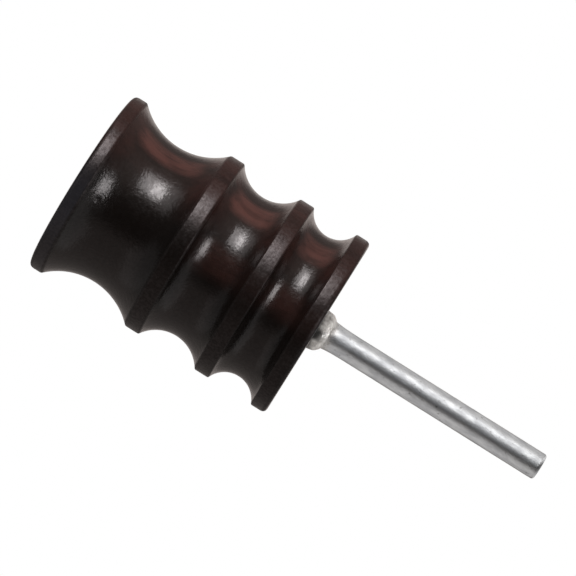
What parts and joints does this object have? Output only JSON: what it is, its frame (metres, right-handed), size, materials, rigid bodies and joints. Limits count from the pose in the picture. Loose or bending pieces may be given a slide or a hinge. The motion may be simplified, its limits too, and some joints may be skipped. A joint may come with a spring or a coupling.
{
  "type": "leather edge burnisher bit",
  "caption": "Turned dark hardwood head with concave edge-slicking grooves between flat rims, bonded onto a plain round steel shank for a rotary tool.",
  "frame": {"origin": "centre of the head's flat free end face, which the bit stands on", "axes": "+Z along the spin axis, from the head towards the shank's tip; X and Y are free, because the bit is a solid of revolution"},
  "size_m": [0.0212, 0.0212, 0.0571],
  "materials": {
    "dark_hardwood": "fine-grained dark hardwood, turned and waxed to a semi-gloss",
    "plated_steel": "bright plated steel rod with small dings",
    "cured_epoxy": "cured two-part adhesive, glossy and slightly cloudy"
  },
  "bodies": {
    "root": {"burnisher_head": "dark_hardwood", "drive_shank": "plated_steel", "epoxy_bond": "cured_epoxy"}
  },
  "joints": []
}
